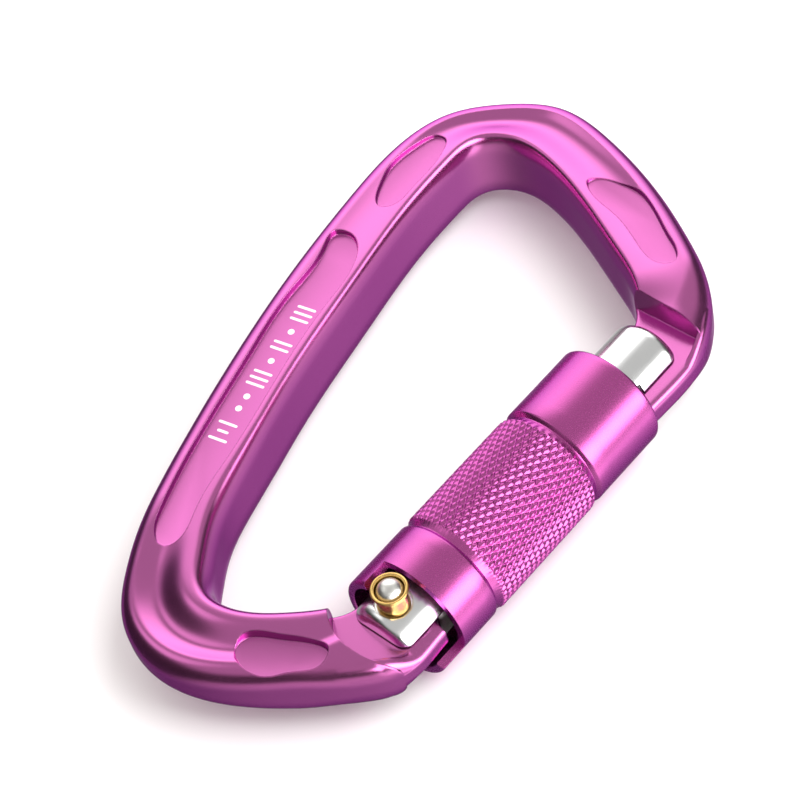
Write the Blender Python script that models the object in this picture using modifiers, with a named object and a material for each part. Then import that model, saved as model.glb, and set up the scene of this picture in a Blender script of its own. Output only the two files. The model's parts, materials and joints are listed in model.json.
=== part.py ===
"""Twist-lock carabiner: a forged D frame, a sprung gate with a keylock slot, and a quarter-turn sleeve.

Frame of the model: the carabiner lies flat. +Z is up through its thickness, +Y runs along the gate from
the hinge to the nose, and +X points from the spine to the gate. The origin is under the middle of the
outline, on the plane that the back of the sleeve touches.

Every outline below is measured from the hinge axis, in millimetres, and MM turns it into metres.
"""
import math

import bmesh
import bpy
import numpy as np
from mathutils import Matrix, Vector

MM = 0.001

# Where the hinge axis stands in the model's frame
HINGE_X = 21.95
HINGE_Y = -27.8
MID_Z = 8.3

# Forged frame
HALF_THICK = 6.1            # half the thickness of the bow
EDGE_ROUND = 3.3            # rounding of the bow's edges
TANG_HALF = 2.1             # half the thickness of the flat tang at the nose and at the hinge
RIM_PROUD = 0.06            # how far the rim beside a tang stands above it
NOSE_WALL_Y = 56.8          # where the bow steps down to the nose tang
NOSE_END_Y = 44.6
BLANK_END_Y = 38.5          # the blank is square down to here, before the hook is cut
NOSE_RIM_X = 6.0            # outside this line the bow tapers into the nose tang
NOSE_RIM_Y = (47.0, 57.5)
STEP_CENTRE = (2.5, 0.8)    # the bow steps down to the hinge tang on a circle
STEP_RADIUS = 8.6
HINGE_RIM_X = 5.0           # outside this line the bow tapers into the hinge tang
HINGE_RIM_Y = (-10.5, -4.4)
POCKET_DEPTH = 1.5

# Hinge and follower cam
PIN_RADIUS = 1.5
PIN_CLEARANCE = 0.12
TANG_RADIUS = 5.0
OPEN_DEG = 21.0
CAM_RISE = 2.6              # follower travel in millimetres for each radian of gate swing

# Gate
GATE_RADIUS = 5.35
GATE_LOW_Y = -3.7
GATE_TIP_Y = 53.4
SLOT_HALF = 2.4
FORK_DEPTH_Y = 7.3
NOSE_SLOT_X = -2.7
NOSE_SLOT_LOW_Y = 42.0
SEAT_HALF = 3.5
SEAT_X = 0.6
SEAT_TOP_Y = 45.9
COLLAR_Y = (17.4, 18.5)
COLLAR_RADIUS = 6.4
RING_GROOVE_Y = (28.0, 29.2)
RING_GROOVE_RADIUS = 4.9
GATE_BORE_RADIUS = 1.6
GATE_BORE_TOP_Y = 26.0

# Follower and its spring
PLUNGER_RADIUS = 1.35
PLUNGER_GAP = 0.25
PLUNGER_TOP_Y = 12.0
SPRING_WIRE = 0.25

# Sleeve
SLEEVE_RADIUS = 8.2
KNURL_RADIUS = 8.3
SLEEVE_BORE = 7.0
SLEEVE_LOW_Y = -1.0
SLEEVE_TOP_Y = 44.2
GROOVES_Y = (10.3, 31.2)
GROOVE_HALF = 0.45
GROOVE_DEPTH = 0.5
WEB_Y = (21.0, 25.0)
WEB_BORE = 5.6
RIM_ROUND = 0.5
NOTCH_TOP_Y = 3.2
NOTCH_FROM_DEG = -28.0      # angles round the gate axis, from the front (+Z) towards the outside (+X)
NOTCH_TO_DEG = 110.0

# Guide bush on the front end of the rivet
BUSH_SEAT_Z = 4.7
BUSH_BASE_Z = 4.9
BUSH_TOP_Z = 8.5
BUSH_RADIUS = 2.25
BUSH_RIM_RADIUS = 2.55
BUSH_BORE = 1.65

COLOURS = {
    "anodised": ((0.62, 0.10, 0.42, 1.0), 0.22, 1.0),
    "gate_metal": ((0.80, 0.80, 0.79, 1.0), 0.28, 1.0),
    "steel": ((0.66, 0.66, 0.64, 1.0), 0.25, 1.0),
    "brass": ((0.83, 0.60, 0.26, 1.0), 0.25, 1.0),
    "spring_steel": ((0.42, 0.42, 0.43, 1.0), 0.35, 1.0),
    "polymer": ((0.05, 0.05, 0.055, 1.0), 0.50, 0.0),
}

# The bow's two edges, from the nose to the hinge
OUTER_EDGE = [
    (6.8, NOSE_END_Y), (7.0, 49.5), (6.9, 54.5), (5.8, 58.7), (2.9, 63.4), (-4.9, 69.3), (-14.7, 74.4),
    (-26.5, 78.5), (-35.6, 79.4), (-43.5, 75.6), (-49.8, 69.1), (-52.1, 60.5), (-51.6, 49.5),
    (-49.0, 32.0), (-44.3, 12.0), (-39.3, -4.5), (-35.4, -14.2), (-30.1, -21.2), (-21.5, -23.9),
    (-12.0, -21.3), (-3.7, -15.6), (2.4, -9.8), (5.2, -6.3), (6.1, -2.8), (6.1, 0.8),
]
INNER_EDGE = [
    (-3.9, 54.6), (-6.9, 57.3), (-12.6, 60.1), (-22.6, 65.0), (-31.5, 68.4), (-37.5, 68.9),
    (-41.3, 66.3), (-41.9, 61.5), (-41.3, 52.0), (-39.0, 37.3), (-35.5, 20.0), (-31.5, 5.6),
    (-28.2, -3.5), (-25.1, -8.3), (-21.0, -12.3), (-16.9, -12.1), (-11.0, -8.7), (-7.2, -5.4),
    (-5.7, -3.5), (-5.1, -1.6), (-4.9, 0.4),
]

# The flat-floored pockets, one closed smooth outline each
POCKETS = {
    "spine": [(-47.2, 40.6), (-46.2, 42.2), (-44.4, 41.9), (-42.1, 39.4), (-38.8, 29.5), (-35.6, 17.0),
              (-32.3, 4.5), (-30.2, -4.5), (-30.0, -9.4), (-31.8, -10.9), (-33.9, -9.3), (-38.0, 3.5),
              (-41.6, 17.0), (-45.0, 30.5)],
    "upper_spine": [(-49.0, 56.0), (-48.2, 62.6), (-46.6, 64.4), (-45.2, 63.4), (-44.4, 58.5),
                    (-43.8, 52.0), (-44.6, 50.0), (-47.6, 52.0)],
    "arm": [(-23.2, 69.3), (-21.5, 70.9), (-16.0, 71.3), (-10.0, 68.8), (-5.0, 66.1), (-3.8, 64.0),
            (-5.4, 62.9), (-9.6, 63.4), (-15.4, 65.4), (-21.4, 67.7)],
    "bottom": [(-13.2, -15.6), (-8.7, -12.3), (-4.2, -10.1), (-2.2, -10.3), (-2.0, -12.2), (-4.6, -15.1),
               (-7.4, -17.4), (-10.2, -18.2), (-12.7, -17.3)],
}


def natural_spline(points, count, skip=0):
    """Points along the natural cubic spline through the given ones, leaving out skip spans at each end."""
    knots = np.array(points, dtype=float)
    lengths = np.linalg.norm(np.diff(knots, axis=0), axis=1)
    station = np.concatenate(([0.0], np.cumsum(lengths)))
    size = len(knots)
    matrix = np.eye(size)
    rhs = np.zeros_like(knots)
    for i in range(1, size - 1):
        matrix[i, i - 1] = lengths[i - 1]
        matrix[i, i] = 2.0 * (lengths[i - 1] + lengths[i])
        matrix[i, i + 1] = lengths[i]
        rise_after = (knots[i + 1] - knots[i]) / lengths[i]
        rise_before = (knots[i] - knots[i - 1]) / lengths[i - 1]
        rhs[i] = 6.0 * (rise_after - rise_before)
    bend = np.linalg.solve(matrix, rhs)
    result = []
    for s in np.linspace(station[skip], station[size - 1 - skip], count):
        i = min(int(np.searchsorted(station, s, side="right")) - 1, size - 2)
        h = lengths[i]
        a = (station[i + 1] - s) / h
        b = 1.0 - a
        curve = (a ** 3 - a) * bend[i] + (b ** 3 - b) * bend[i + 1]
        result.append(a * knots[i] + b * knots[i + 1] + curve * h * h / 6.0)
    return [tuple(p) for p in result]


def closed_spline(points, count):
    """A closed smooth outline: the spline runs on past both ends, so that it joins up smoothly."""
    wrap = 3
    size = len(points)
    loop = [points[i % size] for i in range(-wrap, size + wrap + 1)]
    return natural_spline(loop, count + 1, wrap)[:-1]


def new_collection(name):
    made = bpy.data.collections.new(name)
    bpy.context.scene.collection.children.link(made)
    return made


def make_material(name):
    colour, roughness, metallic = COLOURS[name]
    made = bpy.data.materials.new(name)
    made.use_nodes = True
    shader = made.node_tree.nodes["Principled BSDF"]
    shader.inputs["Base Color"].default_value = colour
    shader.inputs["Roughness"].default_value = roughness
    shader.inputs["Metallic"].default_value = metallic
    made.diffuse_color = colour
    return made


def prism(name, outline, low_z, high_z, home, edge_round=0.0):
    """A flat outline given thickness between two heights, with rounded edges if asked."""
    curve = bpy.data.curves.new(name, "CURVE")
    curve.dimensions = "2D"
    curve.fill_mode = "BOTH"
    curve.extrude = ((high_z - low_z) / 2.0 - edge_round) * MM
    if edge_round:
        curve.bevel_depth = edge_round * MM
        curve.bevel_resolution = 2
        curve.offset = -edge_round * MM
    spline = curve.splines.new("POLY")
    spline.points.add(len(outline) - 1)
    for point, (x, y) in zip(spline.points, outline):
        point.co = (x * MM, y * MM, 0.0, 1.0)
    spline.use_cyclic_u = True
    drawn = bpy.data.objects.new(name + "_curve", curve)
    home.objects.link(drawn)
    drawn.location.z = (low_z + high_z) / 2.0 * MM
    bpy.context.view_layer.update()
    graph = bpy.context.evaluated_depsgraph_get()
    mesh = bpy.data.meshes.new_from_object(drawn.evaluated_get(graph))
    mesh.transform(drawn.matrix_world)
    bpy.data.objects.remove(drawn)
    shell = bmesh.new()
    shell.from_mesh(mesh)
    bmesh.ops.remove_doubles(shell, verts=shell.verts, dist=1e-6)
    bmesh.ops.recalc_face_normals(shell, faces=shell.faces)
    shell.to_mesh(mesh)
    shell.free()
    made = bpy.data.objects.new(name, mesh)
    home.objects.link(made)
    return made


def side_prism(name, outline, low_x, high_x, home):
    """An outline in the YZ plane given thickness along X."""
    made = prism(name, outline, low_x, high_x, home)
    made.data.transform(Matrix(((0, 0, 1, 0), (1, 0, 0, 0), (0, 1, 0, 0), (0, 0, 0, 1))))
    return made


def cylinder(name, radius, start, end, home, sides=32):
    """A cylinder primitive between two points."""
    start = Vector(start) * MM
    end = Vector(end) * MM
    axis = end - start
    turn = axis.to_track_quat("Z", "Y").to_matrix().to_4x4()
    mesh = bpy.data.meshes.new(name)
    shell = bmesh.new()
    bmesh.ops.create_cone(
        shell, cap_ends=True, segments=sides, radius1=radius * MM, radius2=radius * MM, depth=axis.length,
        matrix=Matrix.Translation((start + end) / 2.0) @ turn)
    shell.to_mesh(mesh)
    shell.free()
    made = bpy.data.objects.new(name, mesh)
    home.objects.link(made)
    return made


def box(name, low, high, home):
    """A box primitive between two corners."""
    low = Vector(low) * MM
    high = Vector(high) * MM
    size = high - low
    mesh = bpy.data.meshes.new(name)
    shell = bmesh.new()
    place = Matrix.Translation((low + high) / 2.0) @ Matrix.Diagonal((size.x, size.y, size.z, 1.0))
    bmesh.ops.create_cube(shell, size=1.0, matrix=place)
    shell.to_mesh(mesh)
    shell.free()
    made = bpy.data.objects.new(name, mesh)
    home.objects.link(made)
    return made


def turned(name, profile, along, home, steps=48):
    """A turned piece: (radius, height) pairs from top to bottom on the outside, about Y or Z."""
    mesh = bpy.data.meshes.new(name)
    shell = bmesh.new()
    verts = [shell.verts.new((r * MM, 0.0, h * MM)) for r, h in profile]
    closed = profile[0][0] > 0.0
    for first, second in zip(verts, verts[1:] + (verts[:1] if closed else [])):
        shell.edges.new((first, second))
    shell.to_mesh(mesh)
    shell.free()
    made = bpy.data.objects.new(name, mesh)
    home.objects.link(made)
    screw = made.modifiers.new("Turn", "SCREW")
    screw.axis = "Z"
    screw.angle = math.tau
    screw.steps = steps
    screw.render_steps = steps
    screw.use_merge_vertices = True
    screw.merge_threshold = 0.00001
    bpy.context.view_layer.update()
    graph = bpy.context.evaluated_depsgraph_get()
    solid = bpy.data.meshes.new_from_object(made.evaluated_get(graph))
    made.modifiers.clear()
    made.data = solid
    bpy.data.meshes.remove(mesh)
    if along == "Y":
        solid.transform(Matrix.Rotation(math.radians(-90.0), 4, "X"))
    return made


def coil(name, wire, radius, low, high, turns, home, end_in=0.0):
    """A close wound coil about Y, as a wire along a helix, with its lower end bent inwards if asked."""
    per_turn = 12
    count = int(turns * per_turn) + 1
    points = []
    if end_in:
        points.append((end_in, low, 0.0))
    for i in range(count):
        part = i / (count - 1)
        angle = math.tau * turns * part
        points.append((radius * math.cos(angle), low + (high - low) * part, radius * math.sin(angle)))
    curve = bpy.data.curves.new(name, "CURVE")
    curve.dimensions = "3D"
    curve.bevel_depth = wire * MM
    curve.bevel_resolution = 2
    curve.use_fill_caps = True
    spline = curve.splines.new("POLY")
    spline.points.add(len(points) - 1)
    for point, place in zip(spline.points, points):
        point.co = (place[0] * MM, place[1] * MM, place[2] * MM, 1.0)
    made = bpy.data.objects.new(name, curve)
    home.objects.link(made)
    return made


def cut(target, *tools):
    """Takes each tool out of the target."""
    for tool in tools:
        step = target.modifiers.new("Cut " + tool.name, "BOOLEAN")
        step.operation = "DIFFERENCE"
        step.solver = "EXACT"
        step.object = tool


def tang_end():
    """The hinge tang's rounded end with its follower cam, as (x, y) from the outside to the inside."""
    cam_start = 90.0
    cam_end = cam_start + OPEN_DEG + 3.0
    points = []
    for degrees in range(14, 176, 6):
        if degrees < 60:
            blend = (60.0 - degrees) / 46.0
            radius = TANG_RADIUS + 1.0 * blend * blend
        elif degrees < cam_start:
            radius = TANG_RADIUS
        elif degrees <= cam_end:
            radius = TANG_RADIUS + CAM_RISE * math.radians(degrees - cam_start)
        else:
            top = CAM_RISE * math.radians(cam_end - cam_start)
            radius = TANG_RADIUS + top * max(0.0, 1.0 - (degrees - cam_end) / 45.0)
        angle = math.radians(degrees)
        points.append((radius * math.cos(angle), radius * math.sin(angle)))
    return points


def hook_space():
    """What is cut from the square nose of the blank, so that the tang ends in a hook."""
    low = BLANK_END_Y - 4.0
    return [(-8.0, 53.75), (-2.5, 53.75), (-2.3, 52.0), (-2.2, 50.4), (-1.2, 49.0), (1.6, 47.6), (3.4, 46.4),
            (4.3, 45.4), (4.6, NOSE_END_Y), (12.0, NOSE_END_Y), (12.0, low), (-8.0, low)]


def build_frame(parts, cutters):
    outline = natural_spline(OUTER_EDGE, 100) + tang_end()
    outline += natural_spline(INNER_EDGE, 80)[::-1]
    outline += [(-3.0, 54.0), (-3.0, BLANK_END_Y), (OUTER_EDGE[0][0], BLANK_END_Y)]
    body = prism("frame_body", outline, -HALF_THICK, HALF_THICK, parts, EDGE_ROUND)
    cut(body, prism("nose_hook", hook_space(), -9.0, 9.0, cutters))
    for side, tag in ((1.0, "front"), (-1.0, "rear")):
        cut(body, *face_cutters(side, tag, cutters))
    cut(body, cylinder("tang_bore", PIN_RADIUS + PIN_CLEARANCE, (0, 0, -9), (0, 0, 9), cutters))
    return body


def face_cutters(side, tag, cutters):
    """What is taken out of one face of the frame: both steps down to the tangs, and the pockets."""
    reach = HALF_THICK + 3.0
    step = sorted((side * TANG_HALF, side * reach))
    tools = [box("nose_step_" + tag, (-10.0, NOSE_END_Y - 5.0, step[0]), (NOSE_RIM_X, NOSE_WALL_Y, step[1]),
                 cutters)]
    circle = []
    for degrees in range(0, 360, 6):
        x = STEP_CENTRE[0] + STEP_RADIUS * math.cos(math.radians(degrees))
        y = STEP_CENTRE[1] + STEP_RADIUS * math.sin(math.radians(degrees))
        if x < HINGE_RIM_X:
            circle.append((x, y))
    edge = math.sqrt(STEP_RADIUS ** 2 - (HINGE_RIM_X - STEP_CENTRE[0]) ** 2)
    circle += [(HINGE_RIM_X, STEP_CENTRE[1] - edge), (HINGE_RIM_X, STEP_CENTRE[1] + edge)]
    circle.sort(key=lambda p: math.atan2(p[1] - STEP_CENTRE[1], p[0] - STEP_CENTRE[0]))
    tools.append(prism("hinge_step_" + tag, circle, step[0], step[1], cutters))
    thin, thick, far = side * (TANG_HALF + RIM_PROUD), side * HALF_THICK, side * reach
    low, high = NOSE_RIM_Y
    taper = [(low - 5.0, thin), (low, thin), (high, thick), (high, far), (low - 5.0, far)]
    tools.append(side_prism("nose_taper_" + tag, taper, NOSE_RIM_X - 0.1, NOSE_RIM_X + 5.0, cutters))
    low, high = HINGE_RIM_Y
    taper = [(low, thick), (high, thin), (high + 14.0, thin), (high + 14.0, far), (low, far)]
    tools.append(side_prism("hinge_taper_" + tag, taper, HINGE_RIM_X - 0.1, HINGE_RIM_X + 5.0, cutters))
    pocket = sorted((side * (HALF_THICK - POCKET_DEPTH), side * reach))
    for label, points in POCKETS.items():
        outline = closed_spline(points, 4 * len(points))
        tools.append(prism("pocket_" + label + "_" + tag, outline, pocket[0], pocket[1], cutters))
    return tools


def build_gate(parts, cutters):
    round_tip = 1.8
    profile = [(0.0, GATE_TIP_Y)]
    for i in range(5):
        angle = math.radians(90.0 - 22.5 * i)
        profile.append((GATE_RADIUS - round_tip + round_tip * math.cos(angle),
                        GATE_TIP_Y - round_tip + round_tip * math.sin(angle)))
    low_groove, high_groove = RING_GROOVE_Y
    low_collar, high_collar = COLLAR_Y
    profile += [
        (GATE_RADIUS, high_groove), (RING_GROOVE_RADIUS, high_groove), (RING_GROOVE_RADIUS, low_groove),
        (GATE_RADIUS, low_groove), (GATE_RADIUS, high_collar), (COLLAR_RADIUS, high_collar),
        (COLLAR_RADIUS, low_collar), (GATE_RADIUS, low_collar), (GATE_RADIUS, GATE_LOW_Y + 0.8),
        (GATE_RADIUS - 0.8, GATE_LOW_Y), (0.0, GATE_LOW_Y)]
    body = turned("gate_body", profile, "Y", parts)
    tools = [
        box("fork_slot", (-9.0, GATE_LOW_Y - 2.0, -SLOT_HALF), (9.0, FORK_DEPTH_Y, SLOT_HALF), cutters),
        box("nose_slot", (NOSE_SLOT_X, NOSE_SLOT_LOW_Y, -SLOT_HALF), (9.0, GATE_TIP_Y + 2.0, SLOT_HALF),
            cutters),
        box("nose_seat", (SEAT_X, NOSE_SLOT_LOW_Y + 0.3, -SEAT_HALF), (9.0, SEAT_TOP_Y, SEAT_HALF), cutters),
        cylinder("plunger_bore", GATE_BORE_RADIUS, (0, FORK_DEPTH_Y - 2.0, 0), (0, GATE_BORE_TOP_Y, 0),
                 cutters, 20),
        cylinder("rivet_bore", PIN_RADIUS + PIN_CLEARANCE, (0, 0, -8), (0, 0, 8), cutters),
        cylinder("bush_seat", BUSH_RIM_RADIUS + 0.3, (0, 0, BUSH_SEAT_Z), (0, 0, 9), cutters),
        cylinder("head_seat", BUSH_RADIUS + 0.3, (0, 0, -BUSH_SEAT_Z), (0, 0, -9), cutters),
    ]
    cut(body, *tools)
    return body


def build_sleeve(parts, cutters):
    low, high = SLEEVE_LOW_Y, SLEEVE_TOP_Y
    lower, upper = GROOVES_Y
    profile = [(SLEEVE_BORE, high), (SLEEVE_RADIUS - RIM_ROUND, high), (SLEEVE_RADIUS, high - RIM_ROUND)]
    for centre, above, below in ((upper, SLEEVE_RADIUS, KNURL_RADIUS), (lower, KNURL_RADIUS, SLEEVE_RADIUS)):
        profile.append((above, centre + GROOVE_HALF))
        profile.append((SLEEVE_RADIUS - GROOVE_DEPTH, centre))
        profile.append((below, centre - GROOVE_HALF))
    profile += [
        (SLEEVE_RADIUS, low + RIM_ROUND), (SLEEVE_RADIUS - RIM_ROUND, low), (SLEEVE_BORE, low),
        (SLEEVE_BORE, WEB_Y[0]), (WEB_BORE, WEB_Y[0]), (WEB_BORE, WEB_Y[1]), (SLEEVE_BORE, WEB_Y[1])]
    body = turned("lock_sleeve", profile, "Y", parts)
    reach = 14.0
    steps = 12
    outline = [(0.0, 0.0)]
    for i in range(steps + 1):
        angle = math.radians(NOTCH_FROM_DEG + (NOTCH_TO_DEG - NOTCH_FROM_DEG) * i / steps)
        outline.append((reach * math.sin(angle), -reach * math.cos(angle)))
    notch = prism("sleeve_notch", outline, SLEEVE_LOW_Y - 3.0, NOTCH_TOP_Y, cutters)
    notch.data.transform(Matrix.Rotation(math.radians(-90.0), 4, "X"))
    cut(body, notch)
    return body


def build_rivet(parts):
    dome = PIN_RADIUS + 0.05
    profile = [(0.0, BUSH_TOP_Z + 0.75), (dome * 0.55, BUSH_TOP_Z + 0.62), (dome * 0.88, BUSH_TOP_Z + 0.3),
               (dome, BUSH_TOP_Z - 0.1), (PIN_RADIUS, BUSH_TOP_Z - 0.3)]
    head_top = -BUSH_SEAT_Z - 0.2
    profile += [(PIN_RADIUS, head_top), (BUSH_RADIUS, head_top), (BUSH_RADIUS, head_top - 0.7),
                (BUSH_RADIUS * 0.8, head_top - 1.15), (0.0, head_top - 1.35)]
    return turned("hinge_rivet", profile, "Z", parts, 32)


def build_bush(parts):
    rim_low = BUSH_TOP_Z - 0.75
    profile = [(BUSH_BORE, BUSH_TOP_Z), (BUSH_RIM_RADIUS - 0.2, BUSH_TOP_Z),
               (BUSH_RIM_RADIUS, BUSH_TOP_Z - 0.2), (BUSH_RIM_RADIUS, rim_low + 0.15),
               (BUSH_RADIUS, rim_low), (BUSH_RADIUS, BUSH_BASE_Z), (BUSH_BORE, BUSH_BASE_Z)]
    return turned("guide_bush", profile, "Z", parts, 32)


def build_plunger(parts):
    tip = TANG_RADIUS + PLUNGER_GAP
    centre = tip + PLUNGER_RADIUS
    profile = [(0.0, PLUNGER_TOP_Y), (PLUNGER_RADIUS, PLUNGER_TOP_Y), (PLUNGER_RADIUS, centre)]
    for i in range(1, 4):
        angle = math.radians(-22.5 * i)
        profile.append((PLUNGER_RADIUS * math.cos(angle), centre + PLUNGER_RADIUS * math.sin(angle)))
    profile.append((0.0, tip))
    return turned("gate_plunger", profile, "Y", parts, 24)


def ring(name, inner, outer, low, high, parts, steps=40):
    profile = [(inner, high), (outer, high), (outer, low), (inner, low)]
    return turned(name, profile, "Y", parts, steps)


def build_retaining_ring(parts, cutters):
    low, high = RING_GROOVE_Y
    body = ring("retaining_ring", RING_GROOVE_RADIUS + 0.15, 6.6, low + 0.15, high - 0.15, parts)
    gap = box("ring_gap", (-1.2, low - 1.0, -8.0), (1.2, high + 1.0, 0.0), cutters)
    cut(body, gap)
    return body


def finish(made, material, parent):
    mesh = made.data
    mesh.materials.clear()
    mesh.materials.append(material)
    if made.type == "MESH":
        mesh.shade_smooth()
        mesh.set_sharp_from_angle(angle=math.radians(32.0))
    made.parent = parent


def build():
    for old in list(bpy.data.objects):
        bpy.data.objects.remove(old)
    parts = new_collection("twist_lock_carabiner")
    cutters = new_collection("cutters")
    hinge = bpy.data.objects.new("hinge_axis", None)
    hinge.location = (HINGE_X * MM, HINGE_Y * MM, MID_Z * MM)
    parts.objects.link(hinge)

    materials = {name: make_material(name) for name in COLOURS}
    web_low, web_high = WEB_Y
    pieces = [
        (build_frame(parts, cutters), "anodised"),
        (build_gate(parts, cutters), "gate_metal"),
        (build_sleeve(parts, cutters), "anodised"),
        (build_rivet(parts), "steel"),
        (build_bush(parts), "brass"),
        (build_plunger(parts), "steel"),
        (coil("gate_spring", SPRING_WIRE, 1.15, PLUNGER_TOP_Y + 1.7, GATE_BORE_TOP_Y - 0.5, 7, parts),
         "spring_steel"),
        (coil("torsion_spring", 0.4, 6.2, 8.4, 16.6, 5.5, parts), "spring_steel"),
        (ring("lower_bearing_ring", GATE_RADIUS + 0.2, 6.7, COLLAR_Y[1] + 0.2, web_low - 0.2, parts),
         "polymer"),
        (ring("upper_bearing_ring", GATE_RADIUS + 0.2, 6.7, web_high + 0.2, RING_GROOVE_Y[0] - 0.15, parts),
         "polymer"),
        (build_retaining_ring(parts, cutters), "steel"),
    ]
    for made, slot in pieces:
        finish(made, materials[slot], hinge)
    for tool in cutters.objects:
        tool.hide_render = True
        tool.display_type = "WIRE"
        tool.parent = hinge


build()
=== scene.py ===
"""Looks for the twist-lock carabiner: a dense bow with dished faces, a knurled sleeve, procedural metals.

Outlines are in millimetres from the hinge axis, as in the CAD: +Y runs along the gate, +X from the spine to
the gate, +Z towards the face with the guide bush. to_world() puts them in the shared frame.
"""
import json
import math

import bmesh
import bpy
import numpy as np
from mathutils import Matrix, Vector


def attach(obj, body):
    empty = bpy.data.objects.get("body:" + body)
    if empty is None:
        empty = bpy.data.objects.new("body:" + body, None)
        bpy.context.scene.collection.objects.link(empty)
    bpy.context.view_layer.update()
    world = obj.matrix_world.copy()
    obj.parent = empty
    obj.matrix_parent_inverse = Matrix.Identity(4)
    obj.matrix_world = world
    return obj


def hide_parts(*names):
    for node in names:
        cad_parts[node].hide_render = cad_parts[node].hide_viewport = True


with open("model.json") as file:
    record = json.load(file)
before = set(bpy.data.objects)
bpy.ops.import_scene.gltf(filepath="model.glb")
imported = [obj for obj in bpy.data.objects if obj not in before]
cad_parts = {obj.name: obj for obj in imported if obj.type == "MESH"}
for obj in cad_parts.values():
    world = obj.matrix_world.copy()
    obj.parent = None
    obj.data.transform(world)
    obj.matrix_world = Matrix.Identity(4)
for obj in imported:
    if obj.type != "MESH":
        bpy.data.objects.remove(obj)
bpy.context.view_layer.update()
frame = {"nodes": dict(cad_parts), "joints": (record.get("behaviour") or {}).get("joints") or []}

MM = 0.001
JOINTS = {joint["name"]: joint for joint in frame["joints"]}
HINGE = np.array(JOINTS["gate_swing"]["pos_m"]) / MM
COARSE = 1.0

# The bow's section. A rounding is (reach across the face, drop through the thickness)
HALF_THICK = 6.1
NOSE_THINNING = 0.55                                # less half thickness beside the nose
OUTER_ROUND = (2.6, 3.3)
OUTER_SPREAD = (5.0, 4.6)                           # the outer rounding beside the tangs
TANG_BLENDS = ((7.0, 56.5), (5.6, -7.0))            # where the bow's outer edge meets each tang
BLEND_NEAR = 3.0
BLEND_FAR = 14.0
LEAST_SIDE = 0.8                                    # straight side left under the outer rounding
LIP_Y = (-6.0, 12.0)                                # the next three change between these heights
LIP_SHARE = (0.2, 1.0)
INNER_ROUND_REACH = (1.9, 1.1)
INNER_ROUND_DROP = (4.2, 3.3)
DISH_SKEW = 0.7
DISH_POWER = 1.5
SHELF_SHARE = 0.24                                  # part of the face that stays flat on a low shelf
SHELF_CLIMB = 0.66                                  # part over which it climbs to the inner edge
SIDE_STEPS, ROUND_STEPS, FACE_STEPS = 4, 13, 25
STATION_STEP = 0.55 * COARSE
OUTLINE_POINTS = 2400
SMOOTHING = 41                                      # outline points that a direction is averaged over
BAR_WIDTHS = (1.0, 20.0)                            # least and most distance between matched edges

# The two tangs and the steps down to them
TANG_HALF = 2.1
TANG_RADIUS = 5.0
TANG_ROUND_DEG = (-20.0, 200.0)
TANG_SHRINK = 0.03                                  # keeps joined solids from sharing a surface
TANG_ROUND_SHRINK = 0.04
NOSE_OUTER_ROUND = (1.0, 1.7)
HINGE_OUTER_ROUND = (2.5, 2.0)
TANG_INNER_ROUND = (0.4, 0.4)
NOSE_TANG_Y = 57.4
HINGE_TANG_X = -10.2
NOSE_WALL_Y = 56.95
NOSE_WALL_LEAN = 0.15
NOSE_WALL_SKEW = -0.02
NOSE_WALL_HALF_X = 12.0
NOSE_WALL_LOW_Y = 32.0
HINGE_STEP_RADIUS = 8.5
CUT_MARGIN = 3.0                                    # how far a cutting tool stands out of the bow
CUT_HALF = 9.0
NOSE_END_Y = 44.6
HOOK_CUT = [
    (-8.0, 53.75), (-2.5, 53.75), (-2.3, 52.0), (-2.2, 50.4), (-1.2, 49.0), (1.6, 47.6), (3.4, 46.4),
    (4.3, 45.4), (4.6, NOSE_END_Y), (12.0, NOSE_END_Y), (12.0, 34.0), (-8.0, 34.0),
]

# Rims carried past the steps: width, rounding, heights between which the rim sinks, half height at the bow
NOSE_RIM = (1.3, (1.0, 2.2), (51.0, 59.5), 3.7)
HINGE_RIM = (1.9, (1.6, 2.8), (-2.8, -8.8), 4.25)
NOSE_RIM_TOP_Y = 62.0
HINGE_RIM_LOW_Y = -14.0
RIM_INNER_ROUND = (0.25, 0.5)
RIM_SUNK_HALF = 1.9                                 # half height at the sunk end, inside the tang
RIM_SIDE = 0.4
RIM_INSET = 0.06

# Gate and sleeve
RIVET_BORE = 1.62
GATE_RADIUS = 5.35
GATE_LOW_Y = -3.7
GATE_TIP_Y = 53.6
TIP_ROUND = 1.8
END_ROUND = 1.6
AXIS_RADIUS = 0.001                                 # how close a turned profile comes to its axis
RING_GROOVE = (28.0, 29.2, 4.9)                     # low, high and radius
COLLAR = (17.4, 18.5, 6.4)
SLOT_HALF = 2.4
FORK_TOP_Y = 7.3
NOSE_SLOT = (-2.7, 42.0)                            # its X on the inner side, and its foot
SEAT_RADIUS = 2.5
SEAT_Z = 4.7
SLEEVE_RADIUS = 8.2
SLEEVE_BORE = 7.0
SLEEVE_Y = (-1.0, 44.2)
SLEEVE_ROUNDS = (0.5, 0.4)                          # at the low and the high end
SLEEVE_BEVEL = 0.15
WEB = (21.0, 25.0, 5.6)
GROOVES_Y = (10.3, 31.2)
GROOVE_SIDE = ((0.04, 0.6), (0.14, 0.45), (0.55, 0.1), (0.55, -0.1))    # depth, distance from its middle
GROOVE_HALF = 0.75
NOTCH_DEG = (-28.0, 110.0)
NOTCH_TOP_Y = 3.2
NOTCH_COLUMNS = int(166 / COARSE)
REST_COLUMNS = int(268 / COARSE)
KNURL_RADIUS = 8.3
KNURL_ROWS = int(160 / COARSE)
KNURL_STARTS = 46
KNURL_LEAN_DEG = 30.0
KNURL_STEEPNESS = 1.6
KNURL_STAND = 0.28                                  # how far the band stands above its edges
KNURL_DEPTH = 0.30
KNURL_FADE = 0.35

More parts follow.
